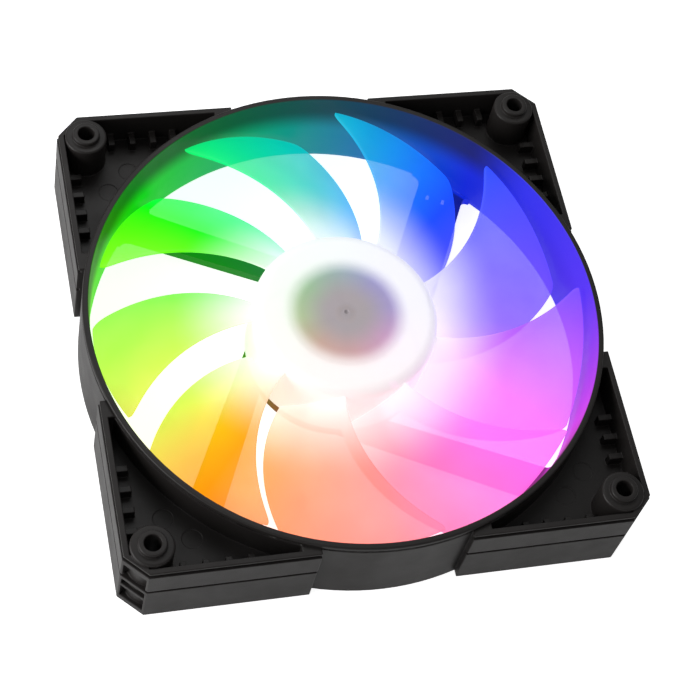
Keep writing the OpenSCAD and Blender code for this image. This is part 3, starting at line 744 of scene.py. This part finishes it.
def make_hub():
    """Hub shell: skirt, rounded shoulder, front plate with a dimple, and the collar round the cup."""
    inner_r, inner_top = HUB_R - HUB_WALL, HUB_TOP - HUB_PLATE
    inner_round = HUB_ROUND - HUB_WALL
    collar_r = CUP_R + COLLAR_T
    profile = [(0, HUB_TOP - DIMPLE_DEPTH), (0.3 * MM, HUB_TOP - DIMPLE_DEPTH),
               (DIMPLE_R, HUB_TOP)]
    profile += [(r * MM, HUB_TOP) for r in (2, 6, 10, 14, 18)]
    profile += arc(HUB_R - HUB_ROUND, HUB_TOP - HUB_ROUND, HUB_ROUND, 90, 0, 12)
    profile += arc(HUB_R - HUB_LIP, HUB_BOTTOM + HUB_LIP, HUB_LIP, 0, -90, 4)
    profile += arc(inner_r + HUB_LIP, HUB_BOTTOM + HUB_LIP, HUB_LIP, 270, 180, 4)
    profile += arc(inner_r - inner_round, inner_top - inner_round, inner_round, 0, 90, 8)
    profile += [(collar_r + COLLAR_FILLET, inner_top), (collar_r, inner_top - COLLAR_FILLET)]
    profile += [(collar_r, COLLAR_BOTTOM), (CUP_R, COLLAR_BOTTOM), (CUP_R, inner_top), (0, inner_top)]
    return lathe("hub_shell", profile, HUB_STEPS, MATERIALS["frosted_plastic"])


def join_solids(base, tool):
    """Union of two closed solids, left on the first."""
    modifier = base.modifiers.new("union", "BOOLEAN")
    modifier.operation = "UNION"
    modifier.solver = "MANIFOLD"
    modifier.object = tool
    evaluated = base.evaluated_get(bpy.context.evaluated_depsgraph_get())
    mesh = bpy.data.meshes.new_from_object(evaluated)
    base.modifiers.clear()
    base.data = mesh
    bpy.data.objects.remove(tool)
    return base


def make_impeller():
    """Hub and blades as one frosted piece."""
    blades = built_by("blades", blade_ring_tree(), {
        "Blade Count": BLADE_COUNT, "Root Radius": BLADE_ROOT_R, "Tip Radius": TIP_R,
        "Sweep": float(BLADE_SWEEP), "Root Span": float(ROOT_SPAN), "Tip Span": float(TIP_SPAN),
        "Root Lead Height": ROOT_LEAD_Z, "Tip Lead Height": TIP_LEAD_Z,
        "Root Trail Height": ROOT_TRAIL_Z, "Tip Trail Height": TIP_TRAIL_Z,
        "Camber": BLADE_CAMBER, "Thickness": BLADE_T, "Edge Thickness": EDGE_T,
        "Material": MATERIALS["frosted_plastic"]})
    impeller = join_solids(make_hub(), blades)
    impeller.name = "lit_impeller"
    shade_round(impeller.data, 40)
    finished(impeller, "rotor", "frosted_plastic", "impeller")


# ---------------------------------------------------------------- motor


def make_cup():
    """Drawn steel cup with rounded corners."""
    inner_r, inner_top = CUP_R - CUP_WALL, CUP_TOP - CUP_WALL
    profile = [(CUP_HOLE_R, CUP_TOP)]
    profile += arc(CUP_R - CUP_ROUND, CUP_TOP - CUP_ROUND, CUP_ROUND, 90, 0)
    profile += arc(CUP_R - CUP_LIP, CUP_BOTTOM + CUP_LIP, CUP_LIP, 0, -90, 3)
    profile += arc(inner_r + CUP_LIP, CUP_BOTTOM + CUP_LIP, CUP_LIP, 270, 180, 3)
    profile += arc(inner_r - CUP_INNER_ROUND, inner_top - CUP_INNER_ROUND, CUP_INNER_ROUND, 0, 90, 4)
    profile += [(CUP_HOLE_R, inner_top)]
    cup = lathe("drawn_cup", profile, CUP_STEPS, MATERIALS["cup_steel"])
    finished(cup, "rotor", "cup_steel", "rotor_cup")


def coil_tree():
    """Geometry tree for layers of wire wound round a flat core arm that points along +X."""
    nodes, given, out = new_group("wound_coil", "GeometryNodeTree", {
        "Start": (FLOAT, 0), "End": (FLOAT, 0), "Half Width": (FLOAT, 0), "Half Height": (FLOAT, 0),
        "Centre Height": (FLOAT, 0), "Width Growth": (FLOAT, 0), "Height Growth": (FLOAT, 0),
        "Turns": (FLOAT, 0), "Layers": (FLOAT, 0), "Steps": ("NodeSocketInt", 0),
        "Wire Radius": (FLOAT, 0), "Turn": (FLOAT, 0), "Material": ("NodeSocketMaterial", None),
    }, {"Geometry": "NodeSocketGeometry"})
    value = {name: nodes.number(given[name]) for name in given.keys() if name}
    total = value["Turns"] * value["Layers"]
    line = nodes.add("GeometryNodeCurvePrimitiveLine", {"End": (1, 0, 0)})
    path = nodes.add("GeometryNodeResampleCurve", {
        "Curve": line.outputs[0], "Count": total * value["Steps"]})
    share = nodes.number(nodes.add("GeometryNodeInputIndex").outputs[0]) / value["Steps"]
    layer = share / value["Turns"]
    level = layer.math("FLOOR")
    along = layer.math("PINGPONG", 1.0)
    angle = share * math.tau
    cosine, sine = angle.math("COSINE"), angle.math("SINE")
    flat_cos = cosine.math("SIGN") * cosine.math("ABSOLUTE") ** 0.35
    flat_sin = sine.math("SIGN") * sine.math("ABSOLUTE") ** 0.35
    place = nodes.add("ShaderNodeCombineXYZ", {
        "X": value["Start"].toward(value["End"], along),
        "Y": (value["Half Width"] + value["Width Growth"] * level) * flat_cos,
        "Z": (value["Half Height"] + value["Height Growth"] * level) * flat_sin + value["Centre Height"]})
    wound = nodes.add("GeometryNodeSetPosition", {
        "Geometry": path.outputs[0], "Position": place.outputs[0]})
    section = nodes.add("GeometryNodeCurvePrimitiveCircle", {
        "Resolution": 6, "Radius": given["Wire Radius"]})
    wire = nodes.add("GeometryNodeCurveToMesh", {
        "Curve": wound.outputs[0], "Profile Curve": section.outputs[0], "Fill Caps": True})
    spin = nodes.add("ShaderNodeCombineXYZ", {"Z": given["Turn"]})
    turned_wire = nodes.add("GeometryNodeTransform", {
        "Geometry": wire.outputs[0], "Rotation": spin.outputs[0]})
    real = nodes.add("GeometryNodeRealizeInstances", {"Geometry": turned_wire.outputs[0]})
    painted = nodes.add("GeometryNodeSetMaterial", {
        "Geometry": real.outputs[0], "Material": given["Material"]})
    nodes.feed(out["Geometry"], painted.outputs[0])
    return nodes.tree


def make_windings():
    """Real turns of enamelled wire on the four arms."""
    tree = coil_tree()
    low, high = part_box("winding_1")
    core_half_h = (high.z - low.z) / 2 - WIRE_STACK
    growth_w = (high.y - WIRE_D / 2 - CORE_HALF_W) / (WIRE_LAYERS - 1)
    growth_h = ((high.z - low.z) / 2 - WIRE_D / 2 - core_half_h) / (WIRE_LAYERS - 1)
    for k in range(POLE_COUNT):
        node = f"winding_{k + 1}"
        coil = built_by(f"coil_{k + 1}", tree, {
            "Start": low.x + WIRE_D / 2, "End": high.x - WIRE_D / 2,
            "Half Width": CORE_HALF_W, "Half Height": core_half_h,
            "Centre Height": (low.z + high.z) / 2, "Width Growth": growth_w,
            "Height Growth": growth_h, "Turns": float(WIRE_TURNS),
            "Layers": float(WIRE_LAYERS), "Steps": WIRE_STEPS,
            "Wire Radius": WIRE_D / 2, "Turn": math.tau * k / POLE_COUNT,
            "Material": MATERIALS["enamelled_copper"]})
        shade_round(coil.data, 70)
        finished(coil, "frame", "enamelled_copper", node)


# ---------------------------------------------------------------- frame


def make_housing():
    """The frame's moulding with its edges rounded."""
    housing = merged_copy("fan_frame", "housing")
    round_edges(housing, EDGE_ROUND)
    housing.data.materials.clear()
    housing.data.materials.append(MATERIALS["black_plastic"])
    finished(housing, "frame", "black_plastic", "fan_frame")


def dress_cad_nodes():
    """Gives every CAD node that stays its material."""
    for node, piece in frame["nodes"].items():
        for k in range(len(piece.data.materials)):
            piece.material_slots[k].link = "OBJECT"
            piece.material_slots[k].material = MATERIALS[SLOT_OF[node]]


# ---------------------------------------------------------------- studio

VIEW_TARGET = Vector((1.83, -5.3, 12.5)) * MM
VIEW_AZIMUTH, VIEW_ELEVATION, VIEW_ROLL = -26.42, 58.603, 17.548
VIEW_DISTANCE = 0.5522
LENS = 103.63
TABLE_HALF = 3.0
TABLE_GAP = 0.2 * MM


def make_camera():
    """Long lens from above and in front, tilted about its own line of sight."""
    azimuth, elevation, roll = map(math.radians, (VIEW_AZIMUTH, VIEW_ELEVATION, VIEW_ROLL))
    back = Vector((math.sin(azimuth) * math.cos(elevation), -math.cos(azimuth) * math.cos(elevation),
                   math.sin(elevation)))
    level = Vector((0, 0, 1)).cross(back).normalized()
    right = Matrix.Rotation(roll, 3, back) @ level
    data = bpy.data.cameras.new("camera")
    data.lens = LENS
    data.clip_start, data.clip_end = 0.02, 20
    camera = bpy.data.objects.new("camera", data)
    bpy.context.scene.collection.objects.link(camera)
    turn = Matrix((right, back.cross(right), back)).transposed()
    camera.matrix_world = Matrix.Translation(VIEW_TARGET + back * VIEW_DISTANCE) @ turn.to_4x4()
    bpy.context.scene.camera = camera


def softbox(name, place, size, power):
    """Square area light that faces the fan."""
    data = bpy.data.lights.new(name, "AREA")
    data.shape = "SQUARE"
    data.size = size
    data.energy = power
    lamp = bpy.data.objects.new(name, data)
    bpy.context.scene.collection.objects.link(lamp)
    place = Vector(place)
    lamp.matrix_world = Matrix.Translation(place) @ (
        (place - VIEW_TARGET).to_track_quat("Z", "Y").to_matrix().to_4x4())


def make_studio():
    """Pale lit table, white surroundings and soft boxes."""
    world = bpy.data.worlds.new("surroundings")
    bpy.context.scene.world = world
    world.use_nodes = True
    nodes = Nodes(world.node_tree)
    sky = nodes.add("ShaderNodeBackground", {"Color": (1, 1, 1, 1), "Strength": 0.3})
    nodes.feed(nodes.add("ShaderNodeOutputWorld").inputs["Surface"], sky.outputs[0])
    softbox("left_box", (-0.9, -0.1, 0.3), 0.7, 9)
    softbox("back_box", (0.0, 0.6, 0.95), 0.6, 2.5)
    mesh = bpy.data.meshes.new("table")
    corners = [(x * TABLE_HALF, y * TABLE_HALF, 0) for x, y in ((-1, -1), (1, -1), (1, 1), (-1, 1))]
    mesh.from_pydata(corners, [], [(0, 1, 2, 3)])
    table = new_object("table", mesh)
    table.location.z = -TABLE_GAP
    material, nodes, shader = new_material("table", Roughness=0.8, Emission_Color=(1, 1, 1, 1))
    place = nodes.add("ShaderNodeTexCoord").outputs["Object"]
    tone = nodes.noise(place, 3, 1) * 0.02 + 0.86
    nodes.feed(shader["Base Color"], nodes.add("ShaderNodeCombineColor", {
        "Red": tone, "Green": tone, "Blue": tone}).outputs[0])
    seen = nodes.number(nodes.add("ShaderNodeLightPath").outputs["Is Camera Ray"])
    nodes.feed(shader["Emission Strength"], seen * 0.6 + 0.25)
    mesh.materials.append(material)
    bpy.context.scene.view_settings.view_transform = "Standard"


make_camera()
make_studio()
dress_cad_nodes()
make_housing()
make_impeller()
make_cup()
make_windings()
